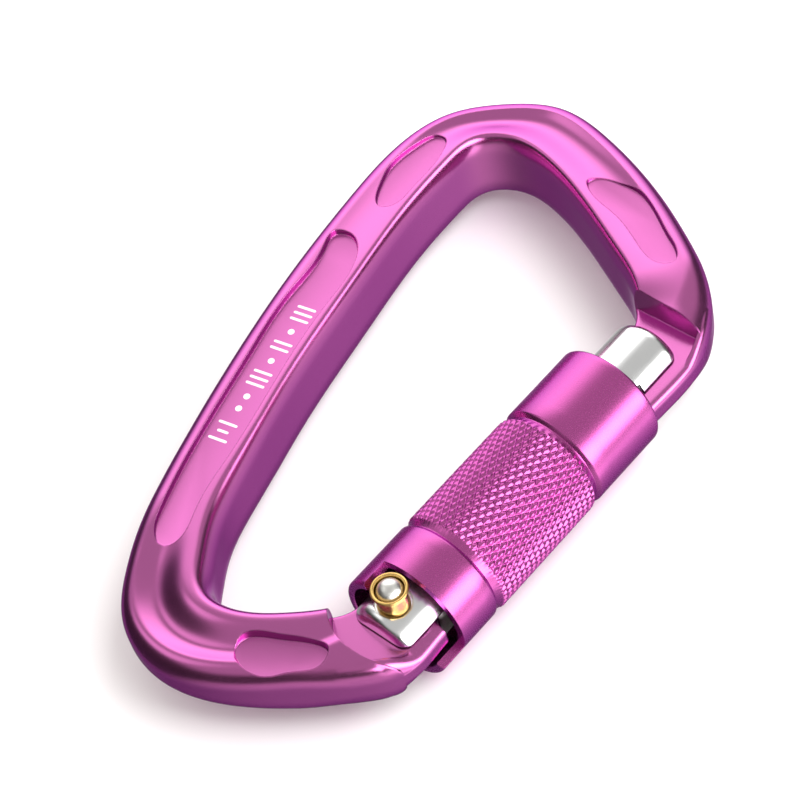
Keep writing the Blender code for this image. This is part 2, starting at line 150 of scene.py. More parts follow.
# Plain ticks and dots in the long pocket: place along the row, and (width, length)
MARKS_FROM, MARKS_TOWARDS = Vector((-42.1, 29.8)), Vector((-36.7, 3.6))
TICK, SHORT_TICK, DOT = (3.0, 0.42), (1.8, 0.42), (1.0, 1.0)
MARKS = (
    (0.0, TICK), (1.1, TICK), (2.2, TICK), (4.4, DOT), (6.6, TICK), (7.7, TICK), (9.9, DOT),
    (12.1, TICK), (13.2, TICK), (14.3, TICK), (16.5, DOT), (18.7, DOT), (21.5, TICK),
    (22.9, SHORT_TICK), (24.3, TICK),
)
MARK_SUNK = 0.03
MARK_PROUD = 0.015

# Colours
MAGENTA, VIOLET = (0.60, 0.152, 0.42, 1.0), (0.46, 0.08, 0.43, 1.0)
SLEEVE_MAGENTA = (0.55, 0.105, 0.365, 1.0)
SHEEN = (0.80, 0.42, 0.75, 1.0)
COAT = 0.12
GRAIN_DEPTH = 0.00002

# Camera: place from the hinge axis in millimetres, axes, and lens for a 36 mm sensor
CAMERA_PLACE = (154.59, -105.77, 279.88)
CAMERA_AXES = ((0.7453, 0.6453, -0.1678), (-0.4425, 0.6670, 0.5995), (0.4987, -0.3725, 0.7826))
CAMERA_LENS = 117.08
FLOOR_Z = -0.0003                                   # in metres, just under the object
FLOOR_HALF = 0.45

OUTER_GUIDE = [
    (7.2, 38.0), (7.3, 44.6), (7.5, 49.5), (7.2, 54.5), (5.9, 58.7), (2.9, 63.4), (-4.9, 69.3),
    (-14.7, 74.4), (-26.5, 78.5), (-35.6, 79.4), (-43.5, 75.6), (-49.8, 69.1), (-52.1, 60.5),
    (-51.6, 49.5), (-49.0, 32.0), (-44.3, 12.0), (-39.3, -4.5), (-35.4, -14.2), (-30.2, -21.3),
    (-21.6, -24.2), (-12.0, -21.6), (-3.5, -15.8), (2.8, -10.4), (5.7, -6.8), (6.7, -3.2), (6.6, 0.2),
    (6.5, 3.2),
]
# Each inner point also has the depth of the dish in the face beside it
INNER_GUIDE = [
    (-3.0, 38.5, 0.0), (-3.0, 47.0, 0.0), (-3.15, 52.6, 0.0), (-3.9, 55.0, 0.0), (-6.9, 58.1, 0.1),
    (-12.6, 61.2, 0.4), (-22.6, 65.9, 0.7), (-31.5, 68.9, 0.9), (-37.5, 69.0, 0.8), (-41.4, 66.3, 0.6),
    (-42.1, 61.5, 0.25), (-41.5, 52.0, 0.15), (-39.0, 37.3, 0.1), (-35.5, 20.0, 0.1), (-31.5, 5.6, 0.1),
    (-28.2, -3.5, 0.15), (-25.1, -8.3, 1.4), (-21.0, -12.3, 2.5), (-16.9, -12.1, 2.1), (-11.0, -8.7, 1.3),
    (-7.2, -5.4, 0.8), (-5.7, -3.5, 0.4), (-5.1, -1.6, 0.2), (-4.9, 0.4, 0.2), (-4.8, 2.6, 0.0),
]
# Each pocket: height of its floor above the middle, the floor's slope per mm in X and Y, and its outline
POCKETS = {
    "spine": (5.1, (0.0, 0.0), [
        (-47.7, 42.3), (-47.2, 39.5), (-45.6, 30.0), (-43.2, 19.5), (-40.7, 10.0), (-37.9, 0.3),
        (-35.2, -7.2), (-33.4, -10.3), (-31.6, -11.1), (-30.2, -10.0), (-31.0, -5.0), (-33.5, 4.5),
        (-36.8, 17.5), (-39.8, 31.5), (-41.4, 39.2), (-43.4, 42.2), (-45.6, 43.2)]),
    "upper_spine": (5.2, (0.0, 0.0), [
        (-49.0, 55.5), (-48.4, 62.5), (-47.4, 64.4), (-46.0, 64.7), (-44.7, 63.0), (-43.8, 59.0),
        (-43.6, 54.5), (-44.2, 50.2), (-45.2, 49.5), (-48.3, 53.4)]),
    "arm": (5.2, (0.0, 0.0), [
        (-23.1, 69.5), (-21.9, 70.9), (-19.5, 71.5), (-16.3, 71.7), (-13.0, 70.7), (-7.2, 67.3),
        (-4.4, 65.5), (-3.7, 64.2), (-4.9, 62.9), (-7.6, 62.9), (-10.5, 64.2), (-16.0, 66.5),
        (-21.9, 68.2)]),
    "bottom": (4.0, (-0.052, 0.061), [
        (-13.0, -15.9), (-8.8, -12.3), (-4.6, -10.2), (-2.4, -10.1), (-1.8, -11.6), (-4.4, -15.0),
        (-6.8, -17.3), (-8.9, -18.2), (-11.2, -18.0), (-12.6, -17.1)]),
}
POCKET_FILLET = 0.15
POCKET_TOOL_RISE = 4.0
POCKET_TOOL_FLARE = 0.5
FLOOR_TOLERANCE = 0.01
FLAT = 0.996                                        # a facet whose normal's Z is more than this is a floor


# ---------------------------------------------------------------- geometry helpers

def ease(part):
    """A smooth climb from 0 to 1 as part goes from 0 to 1."""
    part = min(max(part, 0.0), 1.0)
    return part * part * (3.0 - 2.0 * part)


def natural_spline(points, count, skip=0):
    """Points along the natural cubic spline through the given ones, leaving out skip spans at each end."""
    knots = np.array(points, dtype=float)
    lengths = np.linalg.norm(np.diff(knots[:, :2], axis=0), axis=1)
    station = np.concatenate(([0.0], np.cumsum(lengths)))
    size = len(knots)
    matrix = np.eye(size)
    rhs = np.zeros_like(knots)
    for i in range(1, size - 1):
        matrix[i, i - 1] = lengths[i - 1]
        matrix[i, i] = 2.0 * (lengths[i - 1] + lengths[i])
        matrix[i, i + 1] = lengths[i]
        rise_after = (knots[i + 1] - knots[i]) / lengths[i]
        rise_before = (knots[i] - knots[i - 1]) / lengths[i - 1]
        rhs[i] = 6.0 * (rise_after - rise_before)
    bend = np.linalg.solve(matrix, rhs)
    s = np.linspace(station[skip], station[size - 1 - skip], count)
    i = np.clip(np.searchsorted(station, s, side="right") - 1, 0, size - 2)
    h = lengths[i][:, None]
    a = (station[i + 1] - s)[:, None] / h
    b = 1.0 - a
    curve = (a ** 3 - a) * bend[i] + (b ** 3 - b) * bend[i + 1]
    return a * knots[i] + b * knots[i + 1] + curve * h * h / 6.0


def closed_spline(points, count):
    """The same for a closed outline, made smooth at its start by three spans more at each end."""
    wrap = 3
    size = len(points)
    loop = [points[i % size] for i in range(-wrap, size + wrap + 1)]
    return natural_spline(loop, count + 1, wrap)[:-1]


def circle(radius, count):
    return [(radius * math.cos(a), radius * math.sin(a))
            for a in np.linspace(0.0, math.tau, count, endpoint=False)]


def arc(centre_r, centre_h, radius, start, end, count):
    """Points of an arc from start to end degrees."""
    return [(centre_r + radius * math.cos(math.radians(a)), centre_h + radius * math.sin(math.radians(a)))
            for a in np.linspace(start, end, count)]


def to_world(points):
    return (np.asarray(points, dtype=float) + HINGE) * MM


def link_mesh(name, mesh):
    made = bpy.data.objects.new(name, mesh)
    bpy.context.scene.collection.objects.link(made)
    return made


def add_object(name, verts, faces):
    """A new mesh from points in metres."""
    mesh = bpy.data.meshes.new(name)
    mesh.from_pydata([tuple(v) for v in verts], [], faces)
    mesh.validate()
    return link_mesh(name, mesh)


def smooth(made, degrees):
    made.data.shade_smooth()
    made.data.set_sharp_from_angle(angle=math.radians(degrees))


def solid(name, rings, closed_ends=True):
    """A tube through rings of equal length, in millimetres, with both ends filled or left as they are."""
    count = len(rings[0])
    verts = [p for ring in rings for p in ring]
    faces = []
    for k in range(len(rings) - 1):
        for i in range(count):
            j = (i + 1) % count
            faces.append((k * count + i, k * count + j, (k + 1) * count + j, (k + 1) * count + i))
    if closed_ends:
        faces.append(tuple(range(count))[::-1])
        last = (len(rings) - 1) * count
        faces.append(tuple(range(last, last + count)))
    made = add_object(name, to_world(verts), faces)
    shell = bmesh.new()
    shell.from_mesh(made.data)
    bmesh.ops.remove_doubles(shell, verts=shell.verts, dist=1e-7)
    bmesh.ops.recalc_face_normals(shell, faces=shell.faces)
    shell.to_mesh(made.data)
    shell.free()
    return made


def prism(name, outline, low_z, high_z):
    return solid(name, [[(x, y, z) for x, y in outline] for z in (low_z, high_z)])


def box(name, low, high):
    outline = [(low[0], low[1]), (high[0], low[1]), (high[0], high[1]), (low[0], high[1])]
    return prism(name, outline, low[2], high[2])


def turned(name, profile, along, steps):
    """A closed turned piece from (radius, height) pairs about Z or about the gate's axis."""
    rings = []
    for k in range(steps):
        angle = math.tau * k / steps
        if along == "Z":
            rings.append([(r * math.cos(angle), r * math.sin(angle), h) for r, h in profile])
        else:
            rings.append([(r * math.sin(angle), h, r * math.cos(angle)) for r, h in profile])
    rings.append(rings[0])
    return solid(name, rings, closed_ends=False)


def combine(target, tools, operation="DIFFERENCE"):
    """One exact Boolean per tool; the tools are removed."""
    for tool in tools:
        step = target.modifiers.new("step", "BOOLEAN")
        step.operation = operation
        step.solver = "EXACT"
        step.object = tool
    bpy.context.view_layer.update()
    graph = bpy.context.evaluated_depsgraph_get()
    result = bpy.data.meshes.new_from_object(target.evaluated_get(graph))
    target.modifiers.clear()
    target.data = result
    for tool in tools:
        bpy.data.objects.remove(tool)


def join(pieces):
    """Several separate shells as one object."""
    shell = bmesh.new()
    for piece in pieces:
        shell.from_mesh(piece.data)
    shell.to_mesh(pieces[0].data)
    shell.free()
    for piece in pieces[1:]:
        bpy.data.objects.remove(piece)
    return pieces[0]


# ---------------------------------------------------------------- the bow

def bow_stations():
    """Matched points of the inner and the outer edge along the bow, with the dish's depth."""
    inner = natural_spline(INNER_GUIDE, OUTLINE_POINTS)
    outer = natural_spline(OUTER_GUIDE, OUTLINE_POINTS)
    dish = np.clip(inner[:, 2], 0.0, None)
    inner = inner[:, :2]
    window = np.hanning(SMOOTHING)
    window /= window.sum()
    margin = SMOOTHING // 2
    along = np.pad(np.gradient(inner, axis=0), ((margin, margin), (0, 0)), mode="edge")
    along = np.stack([np.convolve(along[:, k], window, mode="valid") for k in (0, 1)], axis=1)
    along /= np.linalg.norm(along, axis=1)[:, None]
    out = np.stack([along[:, 1], -along[:, 0]], axis=1)
    gap = outer[None, :, :] - inner[:, None, :]
    ahead = gap[:, :, 0] * out[:, None, 0] + gap[:, :, 1] * out[:, None, 1]
    aside = np.abs(gap[:, :, 0] * out[:, None, 1] - gap[:, :, 1] * out[:, None, 0])
    aside[(ahead < BAR_WIDTHS[0]) | (ahead > BAR_WIDTHS[1])] = np.inf
    match = np.maximum.accumulate(np.argmin(aside, axis=1)).astype(float)
    match = np.convolve(np.pad(match, margin, mode="edge"), window, mode="valid")
    index = np.arange(len(outer))
    outer = np.stack([np.interp(match, index, outer[:, k]) for k in (0, 1)], axis=1)
    move = np.maximum(*(np.linalg.norm(np.diff(edge, axis=0), axis=1) for edge in (inner, outer)))
    travel = np.concatenate(([0.0], np.cumsum(move)))
    at = np.linspace(0.0, travel[-1], int(travel[-1] / STATION_STEP) + 1)
    columns = (inner[:, 0], inner[:, 1], outer[:, 0], outer[:, 1], dish)
    return np.stack([np.interp(at, travel, values) for values in columns], axis=1)


def near_tang(x, y, places):
    """From 0 far from the given places to 1 close to one of them."""
    near = min(math.hypot(x - cx, y - cy) for cx, cy in places)
    return ease((BLEND_FAR - near) / (BLEND_FAR - BLEND_NEAR))


def bow_half(x, y):
    """Half the bow's thickness at a point on its outer edge: it thins a little before the nose."""
    return HALF_THICK - NOSE_THINNING * near_tang(x, y, TANG_BLENDS[:1])


def bow_outer_round(x, y):
    """The outer edge's rounding, which spreads down to the thin tangs at the nose and at the hinge."""
    part = near_tang(x, y, TANG_BLENDS)
    return tuple(plain + (spread - plain) * part for plain, spread in zip(OUTER_ROUND, OUTER_SPREAD))


def bow_inner_round(x, y):
    """The inner edge's rounding, fuller in the bottom bend."""
    return tuple(np.interp(y, LIP_Y, ends) for ends in (INNER_ROUND_REACH, INNER_ROUND_DROP))


def bow_section(width, dish, lip, half, outer, inner):
    """Front half of a section, from the outer edge to the inner one, as (inset, height).

    lip is 1 where the dish has a full outer rim, and 0 where the face stays low out to its edge. outer and
    inner are the two edges' roundings.
    """
    outer_reach, outer_drop = outer
    inner_reach, inner_drop = inner
    crest = half - dish * (1.0 - lip)
    outer_drop = min(outer_drop, crest - LEAST_SIDE)
    points = [(0.0, h) for h in np.linspace(0.0, crest - outer_drop, SIDE_STEPS)[:-1]]
    for angle in np.linspace(0.0, math.pi / 2, ROUND_STEPS)[:-1]:
        points.append((outer_reach * (1.0 - math.cos(angle)),
                       crest - outer_drop + outer_drop * math.sin(angle)))
    start, end = outer_reach, width - inner_reach
    for part in np.linspace(0.0, 1.0, FACE_STEPS)[:-1]:
        bowl = math.sin(math.pi * part ** DISH_SKEW) ** DISH_POWER
        shelf = 1.0 - ease((part - SHELF_SHARE) / SHELF_CLIMB)
        sunk = dish * (lip * bowl + (1.0 - lip) * shelf)
        points.append((start + (end - start) * part, half - sunk))
    for angle in np.linspace(math.pi / 2, 0.0, ROUND_STEPS):
        points.append((width - inner_reach * (1.0 - math.cos(angle)),
                       half - inner_drop + inner_drop * math.sin(angle)))
    points += [(width, h) for h in np.linspace(half - inner_drop, 0.0, SIDE_STEPS)[1:]]
    return points


def ring_at(station, section, shift):
    """A whole section placed at a station, its outer edge moved in by shift."""
    ix, iy, ox, oy = station[:4]
    width = math.hypot(ix - ox, iy - oy)
    across = ((ix - ox) / width, (iy - oy) / width)
    full = section + [(u, -z) for u, z in section[-2:0:-1]]
    return [(ox + across[0] * (u + shift), oy + across[1] * (u + shift), z) for u, z in full]


def loft(name, stations, half, outer, inner, shrink=0.0):
    """A swept bar; half gives its half thickness, outer and inner the rounding of their edge at a point."""
    rings = []
    for station in stations:
        ix, iy, ox, oy, dish = station
        width = math.hypot(ix - ox, iy - oy) - 2.0 * shrink
        lip = np.interp(iy, LIP_Y, LIP_SHARE)
        section = bow_section(width, dish, lip, half(ox, oy), outer(ox, oy), inner(ix, iy))
        rings.append(ring_at(station, section, shrink))
    return solid(name, rings)


def rim_bead(name, stations, width, edge, span, top):
    """The bow's outer rim carried on past its step, sinking into the tang between the span's two heights."""
    rings = []
    for station in stations:
        part = ease((station[3] - span[0]) / (span[1] - span[0]))
        half = RIM_SUNK_HALF + (top - RIM_SUNK_HALF) * part
        drop = min(edge[1], half - RIM_SIDE)
        section = bow_section(width, 0.0, 1.0, half, (edge[0], drop), RIM_INNER_ROUND)
        rings.append(ring_at(station, section, RIM_INSET))
    return solid(name, rings)


def nose_wall_tool():
    """Everything below the bow's step at the nose; its wall leans back from the tang to the bow's face."""
    far = HALF_THICK + CUT_MARGIN
    back = NOSE_WALL_LEAN * (far - TANG_HALF)
    profile = [(NOSE_WALL_LOW_Y, -far), (NOSE_WALL_Y + back, -far), (NOSE_WALL_Y, -TANG_HALF),
               (NOSE_WALL_Y, TANG_HALF), (NOSE_WALL_Y + back, far), (NOSE_WALL_LOW_Y, far)]
    return solid("nose_wall", [[(x, y - NOSE_WALL_SKEW * x, z) for y, z in profile]
                               for x in (-NOSE_WALL_HALF_X, NOSE_WALL_HALF_X)])


def hinge_wall_tool():
    far = HALF_THICK + CUT_MARGIN
    return prism("hinge_wall", circle(HINGE_STEP_RADIUS, 120), -far, far)


def build_tangs(stations):
    """The thin tangs at both ends, the round of the hinge tang and the rims beside them."""
    flat = stations.copy()
    flat[:, 4] = 0.0
    nose = flat[:np.argmax(flat[:, 1] > NOSE_TANG_Y)]
    hinge = flat[len(flat) - np.argmax(flat[::-1, 0] < HINGE_TANG_X):]

    def tang(name, part, edge):
        return loft(name, part, lambda x, y: TANG_HALF, lambda x, y: edge, lambda x, y: TANG_INNER_ROUND,
                    TANG_SHRINK)

    tangs = [tang("nose_tang", nose, NOSE_OUTER_ROUND), tang("hinge_tang", hinge, HINGE_OUTER_ROUND)]
    half = TANG_HALF - TANG_ROUND_SHRINK
    tangs.append(prism("tang_round", arc(0.0, 0.0, TANG_RADIUS, *TANG_ROUND_DEG, 45), -half, half))
    outer_y = stations[:, 3]
    nose = stations[:np.argmax(outer_y > NOSE_RIM_TOP_Y)]
    hinge = stations[len(stations) - np.argmax(outer_y[::-1] < HINGE_RIM_LOW_Y):]
    tangs.append(rim_bead("nose_rim", nose, *NOSE_RIM))
    tangs.append(rim_bead("hinge_rim", hinge, *HINGE_RIM))
    return tangs


def build_bow():
    stations = bow_stations()
    bow = loft("forged_bow", stations, bow_half, bow_outer_round, bow_inner_round)
    combine(bow, [join(pocket_tools())])
    combine(bow, [nose_wall_tool(), hinge_wall_tool()])
    for tang in build_tangs(stations):
        combine(bow, [tang], "UNION")
    hook = prism("hook", HOOK_CUT, -CUT_HALF, CUT_HALF)
    bore = prism("bore", circle(RIVET_BORE, 48), -CUT_HALF, CUT_HALF)
    combine(bow, [join([hook, bore])])
    smooth(bow, 26.0)
    return bow


def inset(outline, distance):
    """A closed outline moved inwards along its own normals."""
    ring = np.asarray(outline)
    along = np.roll(ring, -1, axis=0) - np.roll(ring, 1, axis=0)
    along /= np.linalg.norm(along, axis=1)[:, None]
    area = np.sum(ring[:, 0] * np.roll(ring[:, 1], -1) - np.roll(ring[:, 0], -1) * ring[:, 1])
    inwards = np.stack([-along[:, 1], along[:, 0]], axis=1) * (1.0 if area > 0 else -1.0)
    return ring + inwards * distance


def floor_rise(x, y, slope, middle):
    return slope[0] * (x - middle[0]) + slope[1] * (y - middle[1])


def on_pocket_floor(facet):
    """Whether a flat facet of the bow lies in a pocket and at the height of its floor."""
    if abs(facet.normal.z) <= FLAT:
        return False
    x, y, z = np.array(facet.center) / MM - HINGE
    for floor, slope, points in POCKETS.values():
        height = floor + floor_rise(x, y, slope, np.mean(points, axis=0))
        inside = np.all([x, y] > np.min(points, axis=0)) and np.all([x, y] < np.max(points, axis=0))
        if inside and abs(abs(z) - height) < FLOOR_TOLERANCE:
            return True
    return False


def pocket_tools():
    """One cutting tool for each pocket on each face, with a small fillet around its floor."""
    tools = []
    for side in (1.0, -1.0):
        for label, (floor, slope, points) in POCKETS.items():
            outline = closed_spline(points, 10 * len(points))
            levels = [(floor + POCKET_FILLET * (1.0 - math.cos(a)), POCKET_FILLET * (1.0 - math.sin(a)))
                      for a in np.linspace(0.0, math.pi / 2, 5)]
            levels.append((floor + POCKET_TOOL_RISE, -POCKET_TOOL_FLARE))
            middle = np.mean(points, axis=0)
            rings = [[(x, y, side * (z + floor_rise(x, y, slope, middle))) for x, y in inset(outline, shift)]
                     for z, shift in levels]
            tools.append(solid("pocket_" + label, rings))
    return tools


# ---------------------------------------------------------------- the sleeve

def knurl_height(phi, y):
    """How far the knurl's ridges stand above its grooves, from 0 to 1."""
    lean = math.tan(math.radians(KNURL_LEAN_DEG)) / KNURL_RADIUS
    first = (phi + lean * y) * KNURL_STARTS / math.tau
    second = (phi - lean * y) * KNURL_STARTS / math.tau
    wave = np.minimum(np.abs((first % 1.0) - 0.5), np.abs((second % 1.0) - 0.5)) * 2.0
    return np.clip(wave * KNURL_STEEPNESS, 0.0, 1.0)


def sleeve_rows():
    """The sleeve's profile as (radius, y, knurl depth), up its outside and down its bore.

    Also returns which rows the top edge of the notch is on, outside and inside.
    """
    low, high = SLEEVE_Y
    low_round, high_round = SLEEVE_ROUNDS
    lower, upper = GROOVES_Y
    rows = [(r, y, 0.0) for r, y in arc(SLEEVE_RADIUS - low_round, low + low_round, low_round, -90, 0, 5)]
    rows += [(SLEEVE_RADIUS, y, 0.0) for y in np.linspace(low + 1.0, NOTCH_TOP_Y, 5)]
    outer_notch = len(rows) - 1
    rows += [(SLEEVE_RADIUS, y, 0.0) for y in np.linspace(NOTCH_TOP_Y + 1.0, lower - GROOVE_HALF, 5)]
    rows += [(SLEEVE_RADIUS - depth, lower - side, 0.0) for depth, side in GROOVE_SIDE]
    knurl_from, knurl_to = lower + GROOVE_HALF, upper - GROOVE_HALF
    for y in np.linspace(knurl_from, knurl_to, KNURL_ROWS):
        rise = max(min(1.0, (y - knurl_from) / KNURL_FADE, (knurl_to - y) / KNURL_FADE), 0.0)
        rows.append((KNURL_RADIUS - KNURL_STAND + KNURL_STAND * rise, y, KNURL_DEPTH * rise))
    rows += [(SLEEVE_RADIUS - depth, upper + side, 0.0) for depth, side in GROOVE_SIDE[::-1]]
    rows += [(SLEEVE_RADIUS, y, 0.0) for y in np.linspace(upper + GROOVE_HALF, high - 1.0, 6)]
    top_round = arc(SLEEVE_RADIUS - high_round, high - high_round, high_round, 0, 90, 5)
    rows += [(r, y, 0.0) for r, y in top_round]
    rows += [(SLEEVE_BORE + SLEEVE_BEVEL, high, 0.0), (SLEEVE_BORE, high - SLEEVE_BEVEL, 0.0)]
    web_low, web_high, web_bore = WEB
    rows += [(SLEEVE_BORE, y, 0.0) for y in (38.0, 31.0, web_high)]
    rows += [(web_bore, web_high, 0.0), (web_bore, web_low, 0.0), (SLEEVE_BORE, web_low, 0.0)]
    rows += [(SLEEVE_BORE, y, 0.0) for y in (14.0, 8.0, NOTCH_TOP_Y)]
    inner_notch = len(rows) - 1
    rows += [(SLEEVE_BORE, 1.0, 0.0), (SLEEVE_BORE, low + SLEEVE_BEVEL, 0.0),
             (SLEEVE_BORE + SLEEVE_BEVEL, low, 0.0)]
    return rows, outer_notch, inner_notch


def build_sleeve():
    rows, outer_notch, inner_notch = sleeve_rows()
    notch_from, notch_to = (math.radians(d) for d in NOTCH_DEG)
    phi = np.concatenate((np.linspace(notch_from, notch_to, NOTCH_COLUMNS, endpoint=False),
                          np.linspace(notch_to, notch_from + math.tau, REST_COLUMNS, endpoint=False)))
    count, total = len(phi), len(rows)
    verts = np.zeros((total, count, 3))
    for k, (radius, y, depth) in enumerate(rows):
        r = np.full(count, radius)
        if depth:
            r += depth * (knurl_height(phi, y) - 1.0)
        verts[k, :, 0] = r * np.sin(phi)
        verts[k, :, 1] = y
        verts[k, :, 2] = r * np.cos(phi)
    shell = bmesh.new()
    points = [shell.verts.new(p) for p in to_world(verts.reshape(-1, 3))]
    shell.verts.ensure_lookup_table()

    def at(row, col):
        return points[(row % total) * count + col % count]

    def quad(row, next_row, col):
        shell.faces.new((at(row, col), at(row, col + 1), at(next_row, col + 1), at(next_row, col)))

    for row in range(total):
        for col in range(count):
            in_notch = col < NOTCH_COLUMNS and (row < outer_notch or row >= inner_notch)
            if not in_notch:
                quad(row, row + 1, col)
    for col in range(NOTCH_COLUMNS):
        quad(outer_notch, inner_notch, col)
    for col in (0, NOTCH_COLUMNS):
        loop = [at(row, col) for row in range(outer_notch + 1)]
        loop += [at(row, col) for row in range(inner_notch, total)]
        shell.faces.new(loop)
    loose = [v for v in shell.verts if not v.link_faces]
    bmesh.ops.delete(shell, geom=loose, context="VERTS")
    bmesh.ops.recalc_face_normals(shell, faces=shell.faces)
    mesh = bpy.data.meshes.new("twist_sleeve")
    shell.to_mesh(mesh)
    shell.free()
    made = link_mesh("twist_sleeve", mesh)
    smooth(made, 40.0)
    return made


# ---------------------------------------------------------------- gate, rivet and bush

def build_gate():
    """The gate's rod with its collar and ring groove, slotted for the two tangs and bored for the rivet."""
    groove_low, groove_high, groove_radius = RING_GROOVE
    collar_low, collar_high, collar_radius = COLLAR
    profile = [(AXIS_RADIUS, GATE_TIP_Y)]
    profile += arc(GATE_RADIUS - TIP_ROUND, GATE_TIP_Y - TIP_ROUND, TIP_ROUND, 90, 0, 9)
    profile += [(GATE_RADIUS, groove_high), (groove_radius, groove_high), (groove_radius, groove_low),
                (GATE_RADIUS, groove_low), (GATE_RADIUS, collar_high), (collar_radius, collar_high),
                (collar_radius, collar_low), (GATE_RADIUS, collar_low)]
    profile += arc(GATE_RADIUS - END_ROUND, GATE_LOW_Y + END_ROUND, END_ROUND, 0, -90, 8)
    profile.append((AXIS_RADIUS, GATE_LOW_Y))
    gate = turned("gate_rod", profile, "Y", 96)
    slot_x, slot_y = NOSE_SLOT
    seat = circle(SEAT_RADIUS, 40)
    combine(gate, [
        box("fork", (-CUT_HALF, GATE_LOW_Y - 2.0, -SLOT_HALF), (CUT_HALF, FORK_TOP_Y, SLOT_HALF)),
        box("nose_slot", (slot_x, slot_y, -SLOT_HALF), (CUT_HALF, GATE_TIP_Y + 2.0, SLOT_HALF)),
        box("nose_seat", (0.6, slot_y + 0.3, -3.5), (CUT_HALF, 45.9, 3.5)),
        prism("rivet_bore", circle(RIVET_BORE, 40), -8.0, 8.0),
        prism("bush_seat", seat, SEAT_Z, CUT_HALF),
        prism("head_seat", seat, -CUT_HALF, -SEAT_Z),
    ])
    smooth(gate, 30.0)
    return gate


def build_rivet():
    """A turned rivet: a dome in the bush, a plain shank and a low rear head."""
    profile = [(AXIS_RADIUS, 9.25)] + arc(0.0, 7.35, 1.9, 84, 12, 12)
    profile += [(1.5, 7.5), (1.5, -4.9), (2.25, -4.9)] + arc(1.95, -5.65, 0.3, 0, -60, 5)
    profile.append((AXIS_RADIUS, -6.25))
    made = turned("rivet", profile, "Z", 72)
    smooth(made, 35.0)
    return made


def build_bush():
    """A turned cup: a rounded rim on a straight body, with the rivet's dome filling its mouth."""
    rim = (2.28, 8.12, 0.27)
    profile = arc(*rim, 90, -60, 12) + arc(2.6, 7.35, 0.45, 150, 180, 4)
    profile += [(2.15, 5.4), (2.22, 5.05), (2.22, 4.9), (1.6, 4.9), (1.6, 7.1), (1.95, 7.45)]
    profile += arc(*rim, 180, 100, 6)
    made = turned("bush", profile, "Z", 72)
    smooth(made, 35.0)
    return made


# ---------------------------------------------------------------- marks in the long pocket

def build_marks():
    """Plain ticks and dots where a rating would be printed: no letters, numbers or arrows."""
    along = (MARKS_TOWARDS - MARKS_FROM).normalized()
    across = Vector((along.y, -along.x))
    floor = POCKETS["spine"][0]
    pieces = []
    for place, (width, length) in MARKS:
        centre = MARKS_FROM + along * place
        outline = []
        radius = min(width, length) / 2.0
        straight_x, straight_y = width / 2.0 - radius, length / 2.0 - radius
        for sx, sy, turn in ((1, 1, 0), (-1, 1, 90), (-1, -1, 180), (1, -1, 270)):
            for u, v in arc(sx * straight_x, sy * straight_y, radius, turn, turn + 90, 4):
                spot = centre + across * u + along * v
                outline.append((spot.x, spot.y))
        pieces.append(prism("mark", outline, floor - MARK_SUNK, floor + MARK_PROUD))
    made = join(pieces)
    made.name = "pocket_marks"
    made.data.name = "pocket_marks"
    smooth(made, 30.0)
    return made


# ---------------------------------------------------------------- materials

def new_material(name):
    made = bpy.data.materials.new(name)
    made.use_nodes = True
    tree = made.node_tree
    tree.nodes.clear()
    out = tree.nodes.new("ShaderNodeOutputMaterial")
    shader = tree.nodes.new("ShaderNodeBsdfPrincipled")
    tree.links.new(shader.outputs["BSDF"], out.inputs["Surface"])
    return made, tree, shader


def noise(tree, scale, detail=4.0, stretch=None):
    coords = tree.nodes.new("ShaderNodeTexCoord")
    texture = tree.nodes.new("ShaderNodeTexNoise")
    texture.inputs["Scale"].default_value = scale
    texture.inputs["Detail"].default_value = detail
    if stretch:
        mapping = tree.nodes.new("ShaderNodeMapping")
        mapping.inputs["Scale"].default_value = stretch
        tree.links.new(coords.outputs["Object"], mapping.inputs["Vector"])
        tree.links.new(mapping.outputs["Vector"], texture.inputs["Vector"])
    else:
        tree.links.new(coords.outputs["Object"], texture.inputs["Vector"])
    return texture.outputs["Fac"]


def ramp(tree, value, start, end, low=0.0, high=1.0, kind="SMOOTHSTEP"):
    """low up to start, high from end on, and a smooth or LINEAR climb between them."""
    node = tree.nodes.new("ShaderNodeMapRange")
    node.interpolation_type = kind
    for socket, number in zip(("From Min", "From Max", "To Min", "To Max"), (start, end, low, high)):
        node.inputs[socket].default_value = number
    tree.links.new(value, node.inputs["Value"])
    return node.outputs["Result"]


def spread(tree, value, middle, share):
    """A texture's 0 to 1 as middle, less or more by share of itself."""
    return ramp(tree, value, 0.0, 1.0, middle * (1.0 - share), middle * (1.0 + share), "LINEAR")


def mix_colour(tree, factor, first, second):
    node = tree.nodes.new("ShaderNodeMix")
    node.data_type = "RGBA"
    colour_a, colour_b = node.inputs[6], node.inputs[7]
    for socket, value in ((colour_a, first), (colour_b, second)):
        if isinstance(value, tuple):
            socket.default_value = value
        else:
            tree.links.new(value, socket)
    tree.links.new(factor, node.inputs[0])
    return node.outputs[2]


def darker(colour, share):
    return tuple(c * share for c in colour[:3]) + (1.0,)


def bump(tree, height, strength, edge=0.0):
    """Grain from a height, over edges that look rounded by edge metres."""
    node = tree.nodes.new("ShaderNodeBump")
    node.inputs["Strength"].default_value = strength
    node.inputs["Distance"].default_value = GRAIN_DEPTH
    tree.links.new(height, node.inputs["Height"])
    if edge:
        rounding = tree.nodes.new("ShaderNodeBevel")
        rounding.samples = 4
        rounding.inputs["Radius"].default_value = edge
        tree.links.new(rounding.outputs["Normal"], node.inputs["Normal"])
    return node.outputs["Normal"]


